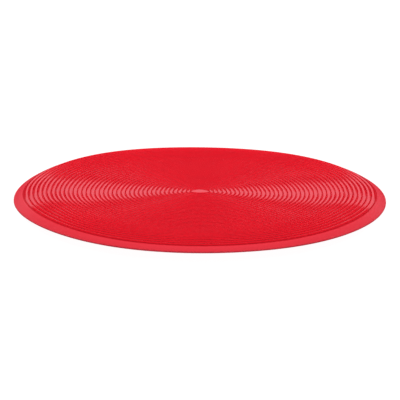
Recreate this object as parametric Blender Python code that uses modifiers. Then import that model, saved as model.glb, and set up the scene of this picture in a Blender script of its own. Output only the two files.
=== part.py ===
"""Round air-filled balance cushion, 330 mm across, at low inflation.

Two moulded vinyl shells, ridged in concentric rings, are welded together along a thin smooth
rim and hold an air chamber between them. A needle valve sits in the thickened middle of the
lower shell: a flanged housing, a rubber core that seals itself, and a plug that pulls out
downwards. Metres, +Z up, origin at the centre of the base.
"""
import math

import bpy
from mathutils import Vector

# Overall size
RADIUS = 0.165            # outer edge of the rim
SEAM_Z = 0.0075           # height of the weld between the two shells
EDGE_THICKNESS = 0.0011   # both shells together, at the tip of the rim
GAP = 0.0003              # clearance left between pieces that touch
WALL = 0.004              # vinyl wall round the air chamber
STEPS = 48                # segments round a shell
SMALL_STEPS = 32          # segments round a valve piece

# Concentric ridges, alike on both faces
PITCH = 0.003856
FIRST_GROOVE = 0.00816
GROOVES = 39
WIDER_FROM = 32           # from this groove outwards the pitch is EXTRA_PITCH larger
EXTRA_PITCH = 0.00026
CREST_RISE = 0.00015      # crest above the face's mean curve
GROOVE_DROP = 0.00040     # groove below it
LAST_GROOVE_DROP = 0.0009  # the last groove, beside the rim band, is deeper
BOSS_RADIUS = 0.0074      # smooth button in the middle of the upper face
BOSS_FLAT = 0.6           # share of the button's radius that is level

# Upper face: heights above the tip of the rim, at the radii where they are reached
CENTRE_RISE = 0.0070
PLATEAU_RISE = 0.0058
PLATEAU_RADIUS = 0.100
SHOULDER_RISE = 0.0066
SHOULDER_RADIUS = 0.135
SHOULDER_END_RISE = 0.0044
BAND_RADIUS = 0.1571      # inner edge of the smooth rim band
BAND_RISE = 0.0037        # the band's lip stands over the last groove
BAND_SAG = 0.52           # share of BAND_RISE left half-way across the band

# Lower face: flat base, then a shallow rise to the rim
BASE_RADIUS = 0.138
BAND_UNDER_Z = 0.0046
BASE_RISE_POWER = 1.4
FIRST_LOWER_GROOVE = 6    # the rings inside this one are left out round the valve

# Air chamber
CHAMBER_RADIUS = 0.153
CHAMBER_FLAT = 0.131      # the chamber's roof and floor curve down to the seam from here
CHAMBER_ARC_STEPS = 4

# Needle valve
RECESS_RADIUS = 0.0092    # pocket in the base that the plug's head sits in
RECESS_DEPTH = 0.0020
HUB_RADIUS = 0.0150
HUB_FOOT_RADIUS = 0.0200
HUB_Z = 0.0055
BARREL_RADIUS = 0.0056
BORE_RADIUS = 0.00303
FLANGE_RADIUS = 0.0105
FLANGE_THICKNESS = 0.0013
SOCKET_RADIUS = 0.0038
SOCKET_Z = (0.0062, 0.0090)
HOUSING_TOP_Z = 0.0097
LIP_RADIUS = 0.0028
CORE_PROUD = 0.0006       # the core's nose above the housing
CORE_CONE_DROP = 0.0006   # foot of the nose's cone below the housing's top
CORE_NOSE_RADIUS = 0.0009
CORE_MOUTH_RADIUS = 0.0016
CORE_MOUTH_DEPTH = 0.0022
SHANK_RADIUS = 0.00295
NECK_RADIUS = 0.00265
PLUG_TIP_Z = 0.0058
HEAD_RADIUS = 0.0076
HEAD_BOTTOM_Z = 0.0004
NECK_STEP = 0.0003        # slope of the groove's sides round the shank
NECK_LENGTH = 0.0008
DISH_RADIUS = 0.0050      # shallow dish in the head's underside
NOTCH_RADIUS = 0.0045     # fingernail scoop beside the plug's head
NOTCH_CENTRE = Vector((0.0108, 0.0, -0.0022))

# Edge breaks
TIP_CHAMFER = 0.0002
CHAMFER = 0.0004
SHANK_CHAMFER = 0.0008
MERGE_DISTANCE = 0.00005  # joins a profile's ends where they meet on the axis

VINYL_RED = (0.70, 0.013, 0.023, 1.0)
PLUG_WHITE = (0.80, 0.79, 0.76, 1.0)
HOUSING_CLEAR = (0.62, 0.60, 0.55, 1.0)
CORE_BLACK = (0.03, 0.03, 0.03, 1.0)


def clear_scene():
    for obj in list(bpy.data.objects):
        bpy.data.objects.remove(obj, do_unlink=True)


def new_collection(name):
    collection = bpy.data.collections.new(name)
    bpy.context.scene.collection.children.link(collection)
    return collection


def new_material(name, colour, roughness):
    material = bpy.data.materials.new(name)
    material.use_nodes = True
    shader = material.node_tree.nodes["Principled BSDF"]
    shader.inputs["Base Color"].default_value = colour
    shader.inputs["Roughness"].default_value = roughness
    shader.inputs["Metallic"].default_value = 0.0
    material.diffuse_color = colour
    return material


def eased(start, end, t):
    """From start to end with level ends, for t from 0 to 1."""
    t = min(max(t, 0.0), 1.0)
    return start + (end - start) * (0.5 - 0.5 * math.cos(math.pi * t))


def upper_face(radius):
    """Mean height of the upper face: slightly dished between its centre and its shoulder."""
    tip_z = SEAM_Z + EDGE_THICKNESS / 2
    if radius < PLATEAU_RADIUS:
        return tip_z + eased(CENTRE_RISE, PLATEAU_RISE, radius / PLATEAU_RADIUS)
    if radius < SHOULDER_RADIUS:
        t = (radius - PLATEAU_RADIUS) / (SHOULDER_RADIUS - PLATEAU_RADIUS)
        return tip_z + eased(PLATEAU_RISE, SHOULDER_RISE, t)
    t = (radius - SHOULDER_RADIUS) / (BAND_RADIUS - SHOULDER_RADIUS)
    return tip_z + SHOULDER_RISE - (SHOULDER_RISE - SHOULDER_END_RISE) * t ** 2


def lower_face(radius):
    """Height of the lower face's crests: zero over the base, rising towards the rim."""
    t = max(radius - BASE_RADIUS, 0.0) / (BAND_RADIUS - BASE_RADIUS)
    return BAND_UNDER_Z * t ** BASE_RISE_POWER


def groove_radius(number):
    return FIRST_GROOVE + number * PITCH + max(number - WIDER_FROM, 0) * EXTRA_PITCH


def ridge_points(face, first_groove, crest_offset, groove_offset, last_offset):
    """Groove and crest points from the first groove outwards, ending in the last groove."""
    points = []
    for number in range(first_groove, GROOVES - 1):
        groove = groove_radius(number)
        crest = groove_radius(number + 0.5)
        points.append((groove, face(groove) + groove_offset))
        points.append((crest, face(crest) + crest_offset))
    last = groove_radius(GROOVES - 1)
    points.append((last, face(last) + last_offset))
    return points


def chamber_arc(level_z, seam_z):
    """Quarter ellipse in the chamber's corner, from the seam inwards to the level part."""
    points = []
    for step in range(CHAMBER_ARC_STEPS + 1):
        angle = math.pi / 2 * step / CHAMBER_ARC_STEPS
        radius = CHAMBER_FLAT + (CHAMBER_RADIUS - CHAMBER_FLAT) * math.cos(angle)
        points.append((radius, seam_z + (level_z - seam_z) * math.sin(angle)))
    return points


def turned(name, profile, steps, closed, collection, material, sharp_degrees=35.0, origin_z=0.0):
    """A solid of revolution about Z, with its origin at origin_z on that axis."""
    mesh = bpy.data.meshes.new(name)
    points = [(radius, 0.0, z - origin_z) for radius, z in profile]
    edges = [(index, index + 1) for index in range(len(points) - 1)]
    if closed:
        edges.append((len(points) - 1, 0))
    mesh.from_pydata(points, edges, [])
    obj = bpy.data.objects.new(name, mesh)
    obj.location = (0.0, 0.0, origin_z)
    collection.objects.link(obj)
    screw = obj.modifiers.new("turn", "SCREW")
    screw.axis = "Z"
    screw.angle = 2 * math.pi
    screw.steps = steps
    screw.render_steps = steps
    screw.use_merge_vertices = True
    screw.merge_threshold = MERGE_DISTANCE
    apply_modifiers(obj)
    shade(obj, sharp_degrees)
    obj.data.materials.append(material)
    return obj


def apply_modifiers(obj):
    bpy.context.view_layer.update()
    graph = bpy.context.evaluated_depsgraph_get()
    mesh = bpy.data.meshes.new_from_object(obj.evaluated_get(graph))
    mesh.name = obj.name
    obj.modifiers.clear()
    obj.data = mesh


def shade(obj, sharp_degrees):
    obj.data.shade_smooth()
    obj.data.set_sharp_from_angle(angle=math.radians(sharp_degrees))


def make_top_shell(collection, vinyl):
    """Upper moulding: boss, ridges, shoulder and rim band outside, chamber roof inside."""
    seam_z = SEAM_Z + GAP / 2
    tip_z = SEAM_Z + EDGE_THICKNESS / 2
    centre_z = upper_face(0.0)
    roof_z = upper_face(CHAMBER_FLAT) - WALL
    profile = [(0.0, centre_z + 2 * CREST_RISE)]
    profile.append((BOSS_RADIUS * BOSS_FLAT, centre_z + 2 * CREST_RISE))
    profile.append((BOSS_RADIUS, centre_z + CREST_RISE))
    profile += ridge_points(upper_face, 0, CREST_RISE, -GROOVE_DROP, -LAST_GROOVE_DROP)
    profile.append((BAND_RADIUS, tip_z + BAND_RISE))
    profile.append(((BAND_RADIUS + RADIUS) / 2, tip_z + BAND_RISE * BAND_SAG))
    profile += [(RADIUS - CHAMFER, tip_z), (RADIUS, tip_z - TIP_CHAMFER), (RADIUS, seam_z)]
    profile += chamber_arc(roof_z, seam_z)
    profile.append((PLATEAU_RADIUS, upper_face(PLATEAU_RADIUS) - WALL))
    profile.append((PLATEAU_RADIUS / 2, upper_face(PLATEAU_RADIUS / 2) - WALL))
    profile.append((0.0, centre_z - WALL))
    return turned("top_shell", profile, STEPS, False, collection, vinyl, sharp_degrees=60.0)


def make_bottom_shell(collection, cutters, vinyl):
    """Lower moulding: welding face, rim, ridged base, valve pocket and the hub round it."""
    seam_z = SEAM_Z - GAP / 2
    tip_z = SEAM_Z - EDGE_THICKNESS / 2
    groove_depth = CREST_RISE + GROOVE_DROP
    last_depth = CREST_RISE + LAST_GROOVE_DROP
    hole_radius = BARREL_RADIUS + GAP
    underside = [(RADIUS, seam_z), (RADIUS, tip_z + TIP_CHAMFER), (RADIUS - CHAMFER, tip_z)]
    underside.append((BAND_RADIUS, BAND_UNDER_Z))
    rings = ridge_points(lower_face, FIRST_LOWER_GROOVE, 0.0, groove_depth, last_depth)
    underside += reversed(rings)
    underside.append((rings[0][0] - PITCH / 3, 0.0))
    pocket = [(RECESS_RADIUS + CHAMFER, 0.0), (RECESS_RADIUS, CHAMFER)]
    pocket += [(RECESS_RADIUS, RECESS_DEPTH), (hole_radius, RECESS_DEPTH)]
    hub = [(hole_radius, HUB_Z), (HUB_RADIUS, HUB_Z), (HUB_FOOT_RADIUS, WALL)]
    floor = list(reversed(chamber_arc(WALL, seam_z)))
    profile = underside + pocket + hub + floor
    shell = turned("bottom_shell", profile, STEPS, True, collection, vinyl, sharp_degrees=60.0)
    bpy.ops.mesh.primitive_uv_sphere_add(
        segments=20, ring_count=12, radius=NOTCH_RADIUS, location=NOTCH_CENTRE
    )
    scoop = bpy.context.object
    scoop.name = "nail_notch_cutter"
    scoop.hide_render = True
    scoop.display_type = "WIRE"
    for owner in list(scoop.users_collection):
        owner.objects.unlink(scoop)
    cutters.objects.link(scoop)
    cut = shell.modifiers.new("nail_notch", "BOOLEAN")
    cut.operation = "DIFFERENCE"
    cut.solver = "EXACT"
    cut.object = scoop
    return shell


def make_valve_housing(collection, plastic):
    """Flanged bush: its face is the pocket's floor, its flange is bonded inside the chamber."""
    flange_z = HUB_Z + GAP
    socket_floor, socket_roof = SOCKET_Z
    flange_top = flange_z + FLANGE_THICKNESS
    profile = [(LIP_RADIUS, HOUSING_TOP_Z), (BARREL_RADIUS - CHAMFER, HOUSING_TOP_Z)]
    profile += [(BARREL_RADIUS, HOUSING_TOP_Z - CHAMFER), (BARREL_RADIUS, flange_top)]
    profile += [(FLANGE_RADIUS - CHAMFER, flange_top), (FLANGE_RADIUS, flange_top - CHAMFER)]
    profile += [(FLANGE_RADIUS, flange_z), (BARREL_RADIUS, flange_z), (BARREL_RADIUS, RECESS_DEPTH)]
    profile += [(BORE_RADIUS + CHAMFER, RECESS_DEPTH), (BORE_RADIUS, RECESS_DEPTH + CHAMFER)]
    profile += [(BORE_RADIUS, socket_floor), (SOCKET_RADIUS, socket_floor)]
    profile += [(SOCKET_RADIUS, socket_roof), (LIP_RADIUS, socket_roof)]
    return turned("valve_housing", profile, SMALL_STEPS, True, collection, plastic)


def make_valve_core(collection, rubber):
    """Rubber core held in the housing's socket: a cone leads the needle in, the tip seals."""
    base_z = SOCKET_Z[0] + GAP
    shoulder_z = SOCKET_Z[1] - GAP
    radius = SOCKET_RADIUS - GAP
    tip_radius = LIP_RADIUS - GAP
    nose_z = HOUSING_TOP_Z + CORE_PROUD
    cone_z = HOUSING_TOP_Z - CORE_CONE_DROP
    profile = [(0.0, nose_z), (CORE_NOSE_RADIUS, nose_z), (tip_radius, cone_z)]
    profile += [(tip_radius, shoulder_z), (radius - CHAMFER, shoulder_z)]
    profile += [(radius, shoulder_z - CHAMFER), (radius, base_z)]
    profile += [(CORE_MOUTH_RADIUS, base_z), (0.0, base_z + CORE_MOUTH_DEPTH)]
    return turned("valve_core", profile, SMALL_STEPS, False, collection, rubber)


def make_valve_plug(collection, plastic):
    """Stopper: a ribbed shank in the bore, and a low round head in the pocket of the base."""
    head_top = RECESS_DEPTH - GAP
    neck_top = PLUG_TIP_Z - SHANK_CHAMFER - 2 * CHAMFER - NECK_STEP
    neck_bottom = neck_top - NECK_LENGTH
    shank = [(0.0, PLUG_TIP_Z), (SHANK_RADIUS - SHANK_CHAMFER, PLUG_TIP_Z)]
    shank += [(SHANK_RADIUS, PLUG_TIP_Z - SHANK_CHAMFER), (SHANK_RADIUS, neck_top + NECK_STEP)]
    shank += [(NECK_RADIUS, neck_top), (NECK_RADIUS, neck_bottom)]
    shank += [(SHANK_RADIUS, neck_bottom - NECK_STEP), (SHANK_RADIUS, head_top)]
    head = [(HEAD_RADIUS - CHAMFER, head_top), (HEAD_RADIUS, head_top - CHAMFER)]
    head += [(HEAD_RADIUS, HEAD_BOTTOM_Z + CHAMFER), (HEAD_RADIUS - CHAMFER, HEAD_BOTTOM_Z)]
    head += [(DISH_RADIUS, HEAD_BOTTOM_Z), (DISH_RADIUS - CHAMFER, HEAD_BOTTOM_Z + CHAMFER)]
    head += [(0.0, HEAD_BOTTOM_Z + CHAMFER)]
    return turned(
        "valve_plug", shank + head, SMALL_STEPS, False, collection, plastic, origin_z=head_top
    )


def main():
    clear_scene()
    pad = new_collection("balance_pad")
    cutters = new_collection("cutters")
    vinyl = new_material("red_vinyl", VINYL_RED, 0.38)
    make_top_shell(pad, vinyl)
    make_bottom_shell(pad, cutters, vinyl)
    make_valve_housing(pad, new_material("housing_vinyl", HOUSING_CLEAR, 0.35))
    make_valve_core(pad, new_material("core_rubber", CORE_BLACK, 0.70))
    make_valve_plug(pad, new_material("plug_plastic", PLUG_WHITE, 0.45))


main()
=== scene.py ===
import math

import bpy
import numpy as np
from mathutils import Matrix, Vector


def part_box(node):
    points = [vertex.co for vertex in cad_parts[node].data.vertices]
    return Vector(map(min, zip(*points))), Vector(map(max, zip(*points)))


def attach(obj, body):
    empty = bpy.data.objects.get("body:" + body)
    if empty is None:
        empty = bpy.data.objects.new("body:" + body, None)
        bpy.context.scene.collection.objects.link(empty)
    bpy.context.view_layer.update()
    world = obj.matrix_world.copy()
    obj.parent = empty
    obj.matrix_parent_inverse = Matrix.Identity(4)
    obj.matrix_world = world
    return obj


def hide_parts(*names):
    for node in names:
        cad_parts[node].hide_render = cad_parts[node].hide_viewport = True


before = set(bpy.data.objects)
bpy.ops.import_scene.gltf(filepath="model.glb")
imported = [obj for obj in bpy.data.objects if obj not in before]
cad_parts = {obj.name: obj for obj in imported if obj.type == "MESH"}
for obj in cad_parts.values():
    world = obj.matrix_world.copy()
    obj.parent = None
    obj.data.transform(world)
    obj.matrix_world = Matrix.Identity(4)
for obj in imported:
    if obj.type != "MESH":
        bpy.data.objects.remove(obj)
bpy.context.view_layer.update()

# Sizes that the frame gives
TOP_LOW, TOP_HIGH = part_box("top_shell")
BOTTOM_LOW, BOTTOM_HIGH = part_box("bottom_shell")
RADIUS = TOP_HIGH.x
SEAM_Z = (TOP_LOW.z + BOTTOM_HIGH.z) / 2

# Rim
EDGE_THICKNESS = 0.0011   # both shells together, at the tip
SEAM_GAP = 0.00008
BAND_RADIUS = 0.1571      # inner edge of the smooth band
BAND_RISE = 0.0037        # the band's lip above the tip of the rim
BAND_CROWN = 0.0002
BAND_STEPS = 6
BAND_UNDER_Z = 0.0046
LIP_FILLET = 0.0005
UNDER_LIP_FILLET = 0.0004
TIP_FILLET = 0.0003
SEAM_FILLET = 0.00008

# Ridges, alike on both faces
PITCH = 0.003856
FIRST_GROOVE = 0.00816
GROOVES = 39
WIDER_FROM = 32           # from this groove outwards the pitch is EXTRA_PITCH larger
EXTRA_PITCH = 0.00026
CREST_RISE = 0.00015
GROOVE_DROP = 0.00030
LAST_GROOVE_DROP = 0.0005
LAST_GROOVE_FLAT = 0.00012
RIDGE_ROUNDNESS = 0.12    # 0 for sharp crests
NOTCH_DEPTH = 0.00025     # fine notch along the bottom of each groove
OUTER_NOTCH_DEPTH = 0.00030
NOTCH_OVER = 4            # rings over which the notch grows to its outer depth
NOTCH_SHARE = 0.09        # half the notch's width, as a share of the pitch
SHOULDER_RELIEF = 0.4     # how much more the ridges stand out over the shoulder
RELIEF_FROM = 27
RELIEF_OVER = 5
RIDGE_SAMPLES = (0.0, 0.09, 0.25, 0.46, 0.5, 0.54, 0.75, 0.91)
SEGMENTS = 192            # round a shell
ON_AXIS = 1e-9            # a smaller radius is a point on the axis
SHARP_DEGREES = 20

# Upper face: heights above the tip of the rim
BOSS_RADIUS = 0.0074
BOSS_STEPS = 8
BOSS_FOOT = 0.0001        # how far out from midway the slope round the button turns
CENTRE_RISE = 0.0070
PLATEAU_RISE = 0.0058
PLATEAU_RADIUS = 0.100
SHOULDER_RISE = 0.0066
SHOULDER_RADIUS = 0.135
SHOULDER_END_RISE = 0.0044

# Lower face
BASE_RADIUS = 0.138
BASE_RISE_POWER = 1.4
FIRST_LOWER_GROOVE = 6    # the rings inside this one are left out round the valve
UNDER_LIP_LEAD = (0.15, 0.003)                              # a point inside the lip
GROOVE_RUN_IN = ((0.0003, 0.0003), (0.0008, 0.00006), (0.0014, 0.0))   # inwards, up

# Valve pocket and hub
PLAIN_STEPS = 36          # the plain ring is fine enough to take the nail notch
RECESS_RADIUS = 0.0092
RECESS_DEPTH = 0.0020
RECESS_EDGE = 0.0006
RECESS_FILLET = 0.0005
RECESS_FLOOR_FILLET = 0.0003
HOLE_RADIUS = 0.0059
HUB_RADIUS = 0.0150
HUB_FOOT_RADIUS = 0.0200
HUB_Z = 0.0055
NAIL_RADIUS = 0.0045
NAIL_CENTRE = Vector((0.0108, 0.0, -0.0022))
NAIL_CEILING = 0.0019

# Plug
PLUG_SEGMENTS = 96
HEAD_GAP = 0.0003         # between the pocket's floor and the head
SHANK_RADIUS = 0.00295
NECK_RADIUS = 0.00265
SHANK_CHAMFER = 0.0008
NECK_DROPS = (0.0014, 0.0018, 0.0025, 0.0029)               # down from the shank's tip
DISH_EDGE = 0.0026        # inwards from the head's rim
DISH_SLOPE_END = 0.0032
DISH_DEPTH = 0.0004
DISH_MIDDLE = 0.001
HEAD_FILLETS = (0.0003, 0.0005)
DISH_FILLET = 0.0003
HEAD_STEPS = 5

# Unevenness of the soft mouldings. The waves round the rim (order, size, phase) come from a
# least-squares fit to the outline in the photo. FACE_SAG is the most that the upper face is
# lower in front and behind and higher at the sides, from SAG_START outwards.
RIM_WAVES = (
    (1, 0.00009, 0.90), (2, 0.00029, -3.00), (3, 0.00016, -0.15), (4, 0.00030, 2.67),
    (5, 0.00032, -1.28)
)
FACE_SAG = 0.0009
SAG_START = 0.060

# Air chamber
WALL = 0.004
CHAMBER_RADIUS = 0.153
CHAMBER_FLAT = 0.131
CHAMBER_STEPS = 8
ROOF_RADII = (0.1, 0.05)

# Finish of the red vinyl, with painted shade in its grooves and a painted sheen on its rim band
RED = (0.67, 0.0098, 0.0205, 1)
DEEPER_RED = (0.71, 0.0108, 0.0215, 1)
RED_ROUGHNESS = 0.08
RED_GRAIN = 2600.0
RED_BUMP = 0.000001
# Painted shade: a darker red in the bottom of each groove, where shade falls
GROOVE_PAINTED_SHADE = (0.51, 0.0045, 0.012, 1)
GROOVE_SHADE_SHARE = 0.17  # half the shaded width, as a share of the pitch
GROOVE_ROUGHNESS = 0.7
# Painted sheen: the rim band's red is lighter and pinker than the ridges' red
RIM_RED_AND_PAINTED_SHEEN = (0.74, 0.034, 0.052, 1)
RIM_ROUGHNESS = 0.38
RIM_BLUR = 0.0004

# Finish of the valve
PLUG_WHITES = ((0.78, 0.77, 0.73, 1), (0.82, 0.81, 0.78, 1))
PLUG_ROUGHNESS = 0.42
HOUSING_MILKY = ((0.60, 0.58, 0.53, 1), (0.65, 0.63, 0.58, 1))
HOUSING_ROUGHNESS = 0.33
PLASTIC_GRAIN = 3000.0
PLASTIC_BUMP = 0.00001
CORE_BLACKS = ((0.026, 0.026, 0.027, 1), (0.034, 0.033, 0.033, 1))
CORE_ROUGHNESS = 0.66
RUBBER_GRAIN = 4000.0
RUBBER_BUMP = 0.00002

# All finishes: slow clouds between two shades, uneven gloss, and a fine grain
CLOUD_SCALE = 22.0
GLOSS_SCALE = 90.0
GLOSS_SPREAD = 0.03
NOISE_LOW = 0.3           # the part of the noise's range that is used
NOISE_HIGH = 0.7
PLASTIC_IOR = 1.5

# Camera, fitted to the outline in the photo
ELEVATION = 0.2833        # radians above the horizontal
ROLL = 0.0083             # radians about the line of sight
LENS = 540.0
DISTANCE = 5.318          # from TARGET
TARGET = Vector((0.0, 0.0, 0.01175))
DROP = 0.00467            # how far the camera stands below the line through TARGET
SIDE = 0.00013            # and to the right of it
FAR_CLIP = 100.0

# Light of the surroundings: level at each height in degrees above the horizon
SURROUND = (
    (-90, 1.0), (-35, 1.0), (-14, 0.1), (-2, 0.0), (11.5, 0.0), (14, 0.48), (16.5, 0.52),
    (20, 0.62), (21, 0.62), (23, 0.0), (90, 0.0)
)
SURROUND_TINT = (0.96, 0.97, 1.10)

# Lamps: name, place, size, watts. All point at the middle of the base.
LAMPS = (
    ("key", (-2.2, 1.6, 2.45), 1.2, 126),
    ("second", (2.2, 1.6, 2.45), 1.2, 117),
    ("fill", (0.3, -1.4, 3.0), 1.6, 16),
    ("low", (0.2, -3.0, 0.9), 0.8, 26),
)

# Studio floor
FLOOR_RADIUS = 9.0
FLOOR_DROP = 0.0002
FLOOR_GREY = (0.10, 0.10, 0.10, 1.0)
FLOOR_GLOW = 0.97


def eased(start, end, t):
    t = min(max(t, 0.0), 1.0)
    return start + (end - start) * (0.5 - 0.5 * math.cos(math.pi * t))


def upper_face(radius):
    """Mean height of the upper face."""
    tip_z = SEAM_Z + EDGE_THICKNESS / 2
    if radius < PLATEAU_RADIUS:
        return tip_z + eased(CENTRE_RISE, PLATEAU_RISE, radius / PLATEAU_RADIUS)
    if radius < SHOULDER_RADIUS:
        t = (radius - PLATEAU_RADIUS) / (SHOULDER_RADIUS - PLATEAU_RADIUS)
        return tip_z + eased(PLATEAU_RISE, SHOULDER_RISE, t)
    t = (radius - SHOULDER_RADIUS) / (BAND_RADIUS - SHOULDER_RADIUS)
    return tip_z + SHOULDER_RISE - (SHOULDER_RISE - SHOULDER_END_RISE) * t ** 2


def lower_face(radius):
    """Height of the lower face's crests."""
    t = max(radius - BASE_RADIUS, 0.0) / (BAND_RADIUS - BASE_RADIUS)
    return BAND_UNDER_Z * t ** BASE_RISE_POWER


def ridge_height(share):
    """0 in a groove, 1 on the crest, for share 0 to 1 of the way to the next groove."""
    full = math.hypot(1.0, RIDGE_ROUNDNESS)
    return (full - math.hypot(2 * share - 1, RIDGE_ROUNDNESS)) / (full - RIDGE_ROUNDNESS)


def groove_radius(number):
    return FIRST_GROOVE + number * PITCH + max(number - WIDER_FROM, 0) * EXTRA_PITCH


def notch_depth(number):
    """Depth of the fine notch along a groove's bottom, which grows over the outermost rings."""
    outer = min(max((number - WIDER_FROM + NOTCH_OVER) / NOTCH_OVER, 0.0), 1.0)
    return NOTCH_DEPTH + (OUTER_NOTCH_DEPTH - NOTCH_DEPTH) * outer


def relief(number):
    """How much higher the ridges stand over the shoulder than inside it."""
    return 1 + SHOULDER_RELIEF * min(max((number - RELIEF_FROM) / RELIEF_OVER, 0.0), 1.0)


def ridges(face, first, crest, groove, last_groove):
    """Profile of the ridges from the first groove outwards, ending in the flat last groove."""
    points = []
    for number in range(first, GROOVES - 1):
        for share in RIDGE_SAMPLES:
            radius = groove_radius(number + share)
            notch = max(0.0, 1 - min(share, 1 - share) / NOTCH_SHARE)
            lift = relief(number + share) * (groove + (crest - groove) * ridge_height(share))
            lift -= math.copysign(notch_depth(number + share), crest - groove) * notch
            points.append((radius, face(radius) + lift))
    last = groove_radius(GROOVES - 1)
    points.append((last - LAST_GROOVE_FLAT, face(last) + last_groove))
    points.append((last + LAST_GROOVE_FLAT, face(last) + last_groove))
    return points


def chamber(level_z, seam_z):
    """Quarter ellipse in the air chamber's corner, from the seam inwards."""
    points = []
    for step in range(CHAMBER_STEPS + 1):
        angle = math.pi / 2 * step / CHAMBER_STEPS
        radius = CHAMBER_FLAT + (CHAMBER_RADIUS - CHAMBER_FLAT) * math.cos(angle)
        points.append((radius, seam_z + (level_z - seam_z) * math.sin(angle)))
    return points


def fillet(before, corner, after, size, steps=3):
    """Points rounding a corner, within size of it."""
    a, c, b = (Vector(p) for p in (before, corner, after))
    start = c + (a - c).normalized() * size
    end = c + (b - c).normalized() * size
    points = []
    for step in range(steps + 1):
        t = step / steps
        p = start * (1 - t) ** 2 + c * 2 * t * (1 - t) + end * t ** 2
        points.append((p.x, p.y))
    return points


def turned(name, profile, closed, segments=SEGMENTS):
    """A solid of revolution. The profile runs down its outer side; an open one ends on the axis."""
    verts = []
    rings = []
    for radius, z in profile:
        if radius < ON_AXIS:
            rings.append([len(verts)] * segments)
            verts.append((0.0, 0.0, z))
            continue
        rings.append(list(range(len(verts), len(verts) + segments)))
        for k in range(segments):
            a = 2 * math.pi * k / segments
            verts.append((radius * math.cos(a), radius * math.sin(a), z))
    faces = []
    pairs = list(zip(rings, rings[1:]))
    if closed:
        pairs.append((rings[-1], rings[0]))
    for upper, lower in pairs:
        for k in range(segments):
            n = (k + 1) % segments
            face = [upper[k], lower[k], lower[n], upper[n]]
            unique = list(dict.fromkeys(face))
            if len(unique) > 2:
                faces.append(unique)
    mesh = bpy.data.meshes.new(name)
    mesh.from_pydata(verts, [], faces)
    mesh.update()
    obj = bpy.data.objects.new(name, mesh)
    bpy.context.scene.collection.objects.link(obj)
    mesh.shade_smooth()
    mesh.set_sharp_from_angle(angle=math.radians(SHARP_DEGREES))
    return obj


def top_profile():
    """Upper shell: button, ridges and rim band outside, the chamber's roof inside."""
    seam = SEAM_Z + SEAM_GAP / 2
    tip = SEAM_Z + EDGE_THICKNESS / 2
    centre = upper_face(0.0)
    groove_z = upper_face(FIRST_GROOVE) - GROOVE_DROP
    profile = [(0.0, centre + 2 * CREST_RISE)]
    for step in range(1, BOSS_STEPS + 1):
        t = step / BOSS_STEPS
        z = centre + 2 * CREST_RISE * (1 - t ** 4)
        profile.append((BOSS_RADIUS * t, z))
    profile.append(((BOSS_RADIUS + FIRST_GROOVE) / 2 + BOSS_FOOT, (centre + groove_z) / 2))
    profile += ridges(upper_face, 0, CREST_RISE, -GROOVE_DROP, -LAST_GROOVE_DROP)
    band_start = (BAND_RADIUS, tip + BAND_RISE)
    band_end = (RADIUS, tip)
    profile += fillet(profile[-1], band_start, band_end, LIP_FILLET)
    for step in range(1, BAND_STEPS):
        t = step / BAND_STEPS
        r = BAND_RADIUS + (RADIUS - BAND_RADIUS) * t
        profile.append((r, tip + BAND_RISE * (1 - t) + BAND_CROWN * math.sin(math.pi * t)))
    profile += fillet(profile[-1], band_end, (RADIUS, seam), TIP_FILLET)
    profile += fillet((RADIUS, tip), (RADIUS, seam), (CHAMBER_RADIUS, seam), SEAM_FILLET)
    profile += chamber(upper_face(CHAMBER_FLAT) - WALL, seam)
    profile += [(radius, upper_face(radius) - WALL) for radius in ROOF_RADII]
    profile.append((0.0, upper_face(0.0) - WALL))
    return profile


def bottom_profile():
    """Lower shell: rim, ridged base, valve pocket and hub, and the chamber's floor."""
    seam = SEAM_Z - SEAM_GAP / 2
    tip = SEAM_Z - EDGE_THICKNESS / 2
    lip = (BAND_RADIUS, BAND_UNDER_Z)
    profile = fillet((CHAMBER_RADIUS, seam), (RADIUS, seam), (RADIUS, tip), SEAM_FILLET)
    profile += fillet((RADIUS, seam), (RADIUS, tip), lip, TIP_FILLET)
    for step in range(1, BAND_STEPS):
        t = step / BAND_STEPS
        r = RADIUS + (BAND_RADIUS - RADIUS) * t
        profile.append((r, tip + (BAND_UNDER_Z - tip) * t))
    profile += fillet(profile[-1], lip, UNDER_LIP_LEAD, UNDER_LIP_FILLET)
    groove_depth = CREST_RISE + GROOVE_DROP
    last_depth = CREST_RISE + LAST_GROOVE_DROP
    rings = ridges(lower_face, FIRST_LOWER_GROOVE, 0.0, groove_depth, last_depth)
    profile += reversed(rings)
    profile += [(rings[0][0] - inwards, up) for inwards, up in GROOVE_RUN_IN]
    inner = profile[-1][0]
    for step in range(1, PLAIN_STEPS):
        t = step / PLAIN_STEPS
        profile.append((inner + (RECESS_RADIUS + RECESS_EDGE - inner) * t, 0.0))
    mouth = (RECESS_RADIUS, 0.0)
    corner = (RECESS_RADIUS, RECESS_DEPTH)
    hole = (HOLE_RADIUS, RECESS_DEPTH)
    profile += fillet((inner, 0.0), mouth, corner, RECESS_FILLET)
    profile += fillet(mouth, corner, hole, RECESS_FLOOR_FILLET)
    profile += [hole, (HOLE_RADIUS, HUB_Z)]
    profile += [(HUB_RADIUS, HUB_Z), (HUB_FOOT_RADIUS, WALL)]
    profile += list(reversed(chamber(WALL, seam)))
    return profile


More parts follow.
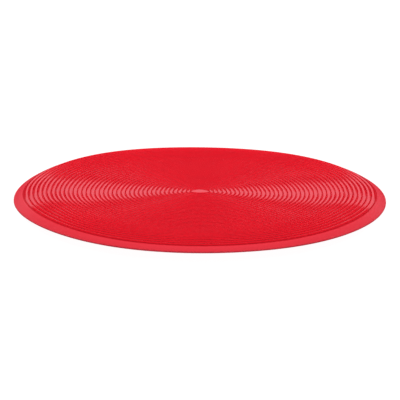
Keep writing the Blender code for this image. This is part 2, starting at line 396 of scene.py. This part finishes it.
def uneven(obj):
    """Slow waves in the rim, and an upper face a little lower in front and behind than aside."""
    count = len(obj.data.vertices)
    co = np.empty(count * 3)
    obj.data.vertices.foreach_get("co", co)
    co = co.reshape(-1, 3)
    radius = np.hypot(co[:, 0], co[:, 1])
    angle = np.arctan2(co[:, 1], co[:, 0])
    wave = sum(size * np.cos(order * angle - phase) for order, size, phase in RIM_WAVES)
    co[:, 2] += wave * np.clip((radius - BASE_RADIUS) / (BAND_RADIUS - BASE_RADIUS), 0, 1)
    inner = np.clip((radius - SAG_START) / (SHOULDER_RADIUS - SAG_START), 0, 1)
    outer = np.clip((RADIUS - radius) / (RADIUS - BAND_RADIUS), 0, 1)
    sag = FACE_SAG * np.cos(2 * angle) * inner * inner * (3 - 2 * inner) * outer
    co[:, 2] += np.where(co[:, 2] > SEAM_Z + EDGE_THICKNESS, sag, 0)
    obj.data.vertices.foreach_set("co", co.ravel())
    obj.data.update()


def dent_notch(obj):
    """Presses the nail notch into the edge of the valve pocket."""
    for vertex in obj.data.vertices:
        p = vertex.co
        if p.z > NAIL_CEILING:
            continue
        flat = Vector((p.x - NAIL_CENTRE.x, p.y - NAIL_CENTRE.y))
        if flat.length < NAIL_RADIUS:
            roof = NAIL_CENTRE.z + math.sqrt(NAIL_RADIUS ** 2 - flat.length_squared)
            p.z = max(p.z, min(roof, NAIL_CEILING))
    obj.data.update()


def plug_profile():
    """The plug with rounded edges, in the CAD plug's place."""
    low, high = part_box("valve_plug")
    head = high.x
    top = RECESS_DEPTH - HEAD_GAP
    bottom = low.z
    tip = high.z
    neck_start, neck_top, neck_bottom, neck_end = (tip - drop for drop in NECK_DROPS)
    profile = [(0.0, tip), (SHANK_RADIUS - SHANK_CHAMFER, tip), (SHANK_RADIUS, tip - SHANK_CHAMFER)]
    profile += [(SHANK_RADIUS, neck_start), (NECK_RADIUS, neck_top)]
    profile += [(NECK_RADIUS, neck_bottom), (SHANK_RADIUS, neck_end), (SHANK_RADIUS, top)]
    rim_top = (head, top)
    rim_bottom = (head, bottom)
    dish_edge = (head - DISH_EDGE, bottom)
    dish_foot = (head - DISH_SLOPE_END, bottom + DISH_DEPTH)
    dish_middle = (0.0, bottom + DISH_DEPTH)
    profile += fillet((SHANK_RADIUS, top), rim_top, rim_bottom, HEAD_FILLETS[0])
    profile += fillet(rim_top, rim_bottom, (0.0, bottom), HEAD_FILLETS[1], HEAD_STEPS)
    profile += fillet(rim_bottom, dish_edge, dish_foot, DISH_FILLET)
    profile += fillet(dish_edge, dish_foot, dish_middle, DISH_FILLET)
    profile += [(DISH_MIDDLE, bottom + DISH_DEPTH), dish_middle]
    return profile


def nodes_of(material):
    material.use_nodes = True
    tree = material.node_tree
    return tree, tree.nodes["Principled BSDF"]


def noise(tree, coords, scale, detail, seed):
    node = tree.nodes.new("ShaderNodeTexNoise")
    node.noise_dimensions = "4D"
    node.inputs["W"].default_value = seed
    node.inputs["Scale"].default_value = scale
    node.inputs["Detail"].default_value = detail
    tree.links.new(coords, node.inputs["Vector"])
    return node.outputs["Fac"]


def ranged(tree, value, low, high):
    """Noise spread from low to high."""
    node = tree.nodes.new("ShaderNodeMapRange")
    node.inputs["From Min"].default_value = NOISE_LOW
    node.inputs["From Max"].default_value = NOISE_HIGH
    node.inputs["To Min"].default_value = low
    node.inputs["To Max"].default_value = high
    tree.links.new(value, node.inputs["Value"])
    return node.outputs["Result"]


def mixed(tree, factor, first, second):
    """From first, a colour or a socket, to the colour second."""
    node = tree.nodes.new("ShaderNodeMix")
    node.data_type = "RGBA"
    tree.links.new(factor, node.inputs[0])
    if isinstance(first, tuple):
        node.inputs[6].default_value = first
    else:
        tree.links.new(first, node.inputs[6])
    node.inputs[7].default_value = second
    return node.outputs[2]


def bumped(tree, shader, height, distance):
    node = tree.nodes.new("ShaderNodeBump")
    node.inputs["Distance"].default_value = distance
    node.inputs["Strength"].default_value = 1.0
    tree.links.new(height, node.inputs["Height"])
    tree.links.new(node.outputs["Normal"], shader.inputs["Normal"])


def maths(tree, operation, first, second=0.0):
    node = tree.nodes.new("ShaderNodeMath")
    node.operation = operation
    for socket, value in zip(node.inputs, (first, second)):
        if isinstance(value, float):
            socket.default_value = value
        else:
            tree.links.new(value, socket)
    return node.outputs[0]


def radius_from_axis(tree, coords):
    flat = tree.nodes.new("ShaderNodeVectorMath")
    flat.operation = "MULTIPLY"
    flat.inputs[1].default_value = (1.0, 1.0, 0.0)
    tree.links.new(coords, flat.inputs[0])
    length = tree.nodes.new("ShaderNodeVectorMath")
    length.operation = "LENGTH"
    tree.links.new(flat.outputs[0], length.inputs[0])
    return length.outputs["Value"]


def rim_share(tree, radius):
    """0 over the ridges, 1 on the smooth band outside them."""
    node = tree.nodes.new("ShaderNodeMapRange")
    node.inputs["From Min"].default_value = BAND_RADIUS - RIM_BLUR
    node.inputs["From Max"].default_value = BAND_RADIUS + RIM_BLUR
    tree.links.new(radius, node.inputs["Value"])
    return node.outputs["Result"]


def groove_share(tree, radius, first):
    """1 in the bottom of each groove from the first one outwards, 0 away from it."""
    number = maths(tree, "DIVIDE", maths(tree, "SUBTRACT", radius, FIRST_GROOVE), PITCH)
    beyond = maths(tree, "MAXIMUM", maths(tree, "SUBTRACT", radius, groove_radius(WIDER_FROM)), 0.0)
    excess = maths(tree, "MULTIPLY", beyond, 1 / PITCH - 1 / (PITCH + EXTRA_PITCH))
    number = maths(tree, "MAXIMUM", maths(tree, "SUBTRACT", number, excess), first - 0.5)
    number = maths(tree, "MINIMUM", number, GROOVES - 0.5)
    distance = maths(tree, "ABSOLUTE", maths(tree, "SUBTRACT", maths(tree, "FRACT", number), 0.5))
    node = tree.nodes.new("ShaderNodeMapRange")
    node.inputs["From Min"].default_value = 0.5 - GROOVE_SHADE_SHARE
    node.inputs["From Max"].default_value = 0.5 - GROOVE_SHADE_SHARE / 2
    tree.links.new(distance, node.inputs["Value"])
    return node.outputs["Result"]


def towards(tree, share, value, end):
    """From value to the number end as share goes from 0 to 1."""
    node = tree.nodes.new("ShaderNodeMapRange")
    node.inputs["To Max"].default_value = end
    tree.links.new(share, node.inputs["Value"])
    tree.links.new(value, node.inputs["To Min"])
    return node.outputs["Result"]


def moulded(name, shades, roughness, grain, bump, ridged=None):
    """Moulded plastic: two close shades in slow clouds, uneven gloss and a fine grain.

    From the groove that ridged names outwards, the grooves are matt and carry painted shade, and
    the rim band is satin and carries a painted sheen, lighter and pinker.
    """
    material = bpy.data.materials.new(name)
    tree, shader = nodes_of(material)
    coords = tree.nodes.new("ShaderNodeTexCoord").outputs["Object"]
    clouds = ranged(tree, noise(tree, coords, CLOUD_SCALE, detail=3.0, seed=1.0), 0.0, 1.0)
    colour = mixed(tree, clouds, shades[0], shades[1])
    patches = noise(tree, coords, GLOSS_SCALE, detail=4.0, seed=5.0)
    gloss = ranged(tree, patches, roughness - GLOSS_SPREAD, roughness + GLOSS_SPREAD)
    if ridged is not None:
        radius = radius_from_axis(tree, coords)
        groove = groove_share(tree, radius, ridged)
        # Painted shade: the grooves are painted darker
        colour = mixed(tree, groove, colour, GROOVE_PAINTED_SHADE)
        gloss = towards(tree, groove, gloss, GROOVE_ROUGHNESS)
        rim = rim_share(tree, radius)
        # Painted sheen: the rim band is painted lighter and pinker
        colour = mixed(tree, rim, colour, RIM_RED_AND_PAINTED_SHEEN)
        gloss = towards(tree, rim, gloss, RIM_ROUGHNESS)
    tree.links.new(colour, shader.inputs["Base Color"])
    tree.links.new(gloss, shader.inputs["Roughness"])
    bumped(tree, shader, noise(tree, coords, grain, detail=2.0, seed=9.0), bump)
    shader.inputs["IOR"].default_value = PLASTIC_IOR
    return material


def red_vinyl(name, first_groove):
    shades = (RED, DEEPER_RED)
    return moulded(name, shades, RED_ROUGHNESS, RED_GRAIN, RED_BUMP, float(first_groove))


def paint(obj, material):
    obj.data.materials.clear()
    obj.data.materials.append(material)


def area_light(name, location, size, watts):
    """A round lamp aimed at the origin. It doesn't show in the vinyl: the surroundings do."""
    data = bpy.data.lights.new(name, "AREA")
    data.shape = "DISK"
    data.size = size
    data.energy = watts
    obj = bpy.data.objects.new(name, data)
    bpy.context.scene.collection.objects.link(obj)
    obj.location = location
    obj.visible_glossy = False
    obj.rotation_euler = (-Vector(location)).to_track_quat("-Z", "Y").to_euler()


def make_world():
    """Soft light by height above the horizon, and plain white where the camera sees past the floor."""
    world = bpy.data.worlds.new("studio")
    bpy.context.scene.world = world
    world.use_nodes = True
    tree = world.node_tree
    surround = tree.nodes["Background"]
    coords = tree.nodes.new("ShaderNodeTexCoord").outputs["Generated"]
    split = tree.nodes.new("ShaderNodeSeparateXYZ")
    tree.links.new(coords, split.inputs[0])
    ramp = tree.nodes.new("ShaderNodeValToRGB")
    shift = tree.nodes.new("ShaderNodeMapRange")
    shift.inputs["From Min"].default_value = -1.0
    shift.inputs["From Max"].default_value = 1.0
    tree.links.new(split.outputs["Z"], shift.inputs["Value"])
    tree.links.new(shift.outputs["Result"], ramp.inputs["Fac"])
    elements = ramp.color_ramp.elements
    while len(elements) < len(SURROUND):
        elements.new(0.5)
    for element, (degrees, level) in zip(elements, SURROUND):
        element.position = math.sin(math.radians(degrees)) / 2 + 0.5
        element.color = (*(level * tint for tint in SURROUND_TINT), 1.0)
    tree.links.new(ramp.outputs["Color"], surround.inputs["Color"])
    white = tree.nodes.new("ShaderNodeBackground")
    white.inputs["Color"].default_value = (1.0, 1.0, 1.0, 1.0)
    seen = tree.nodes.new("ShaderNodeLightPath")
    switch = tree.nodes.new("ShaderNodeMixShader")
    tree.links.new(seen.outputs["Is Camera Ray"], switch.inputs["Fac"])
    tree.links.new(surround.outputs[0], switch.inputs[1])
    tree.links.new(white.outputs[0], switch.inputs[2])
    tree.links.new(switch.outputs[0], tree.nodes["World Output"].inputs["Surface"])


def make_floor():
    """A white floor that takes only a faint contact shadow and is clear from below."""
    bpy.ops.mesh.primitive_circle_add(vertices=64, radius=FLOOR_RADIUS, fill_type="NGON")
    floor = bpy.context.object
    floor.name = "studio_floor"
    floor.location.z = -FLOOR_DROP
    material = bpy.data.materials.new("studio_floor")
    tree, shader = nodes_of(material)
    tree.nodes.remove(shader)
    output = tree.nodes["Material Output"]
    diffuse = tree.nodes.new("ShaderNodeBsdfDiffuse")
    diffuse.inputs["Color"].default_value = FLOOR_GREY
    glow = tree.nodes.new("ShaderNodeEmission")
    glow.inputs["Strength"].default_value = FLOOR_GLOW
    top = tree.nodes.new("ShaderNodeAddShader")
    clear = tree.nodes.new("ShaderNodeBsdfTransparent")
    switch = tree.nodes.new("ShaderNodeMixShader")
    side = tree.nodes.new("ShaderNodeNewGeometry")
    tree.links.new(diffuse.outputs[0], top.inputs[0])
    tree.links.new(glow.outputs[0], top.inputs[1])
    tree.links.new(side.outputs["Backfacing"], switch.inputs["Fac"])
    tree.links.new(top.outputs[0], switch.inputs[1])
    tree.links.new(clear.outputs[0], switch.inputs[2])
    tree.links.new(switch.outputs[0], output.inputs["Surface"])
    floor.data.materials.append(material)
    floor.visible_diffuse = False
    floor.visible_glossy = False
    floor.visible_shadow = False


def make_camera():
    """A long lens, looking down by ELEVATION and slightly rolled."""
    forward = Vector((0.0, math.cos(ELEVATION), -math.sin(ELEVATION)))
    right = Vector((1.0, 0.0, 0.0))
    up = right.cross(forward)
    place = TARGET - forward * DISTANCE - up * DROP + right * SIDE
    rolled_right = right * math.cos(ROLL) + up * math.sin(ROLL)
    rolled_up = up * math.cos(ROLL) - right * math.sin(ROLL)
    data = bpy.data.cameras.new("camera")
    data.lens = LENS
    data.clip_end = FAR_CLIP
    camera = bpy.data.objects.new("camera", data)
    bpy.context.scene.collection.objects.link(camera)
    rotation = Matrix((rolled_right, rolled_up, -forward)).transposed()
    camera.matrix_world = Matrix.Translation(place) @ rotation.to_4x4()
    bpy.context.scene.camera = camera


make_camera()

top = turned("top_skin", top_profile(), False)
uneven(top)
paint(top, red_vinyl("red_vinyl", 0))
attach(top, "cushion")
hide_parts("top_shell")

bottom = turned("bottom_skin", bottom_profile(), True)
dent_notch(bottom)
uneven(bottom)
paint(bottom, red_vinyl("red_vinyl_base", FIRST_LOWER_GROOVE))
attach(bottom, "cushion")
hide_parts("bottom_shell")

plug = turned("plug_cap", plug_profile(), False, PLUG_SEGMENTS)
paint(plug, moulded("plug_plastic", PLUG_WHITES, PLUG_ROUGHNESS, PLASTIC_GRAIN, PLASTIC_BUMP))
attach(plug, "plug")
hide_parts("valve_plug")

housing_vinyl = moulded(
    "housing_vinyl", HOUSING_MILKY, HOUSING_ROUGHNESS, PLASTIC_GRAIN, PLASTIC_BUMP
)
paint(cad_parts["valve_housing"], housing_vinyl)
core_rubber = moulded("core_rubber", CORE_BLACKS, CORE_ROUGHNESS, RUBBER_GRAIN, RUBBER_BUMP)
paint(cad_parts["valve_core"], core_rubber)

make_world()
make_floor()
for lamp in LAMPS:
    area_light(*lamp)
bpy.context.scene.view_settings.view_transform = "Standard"
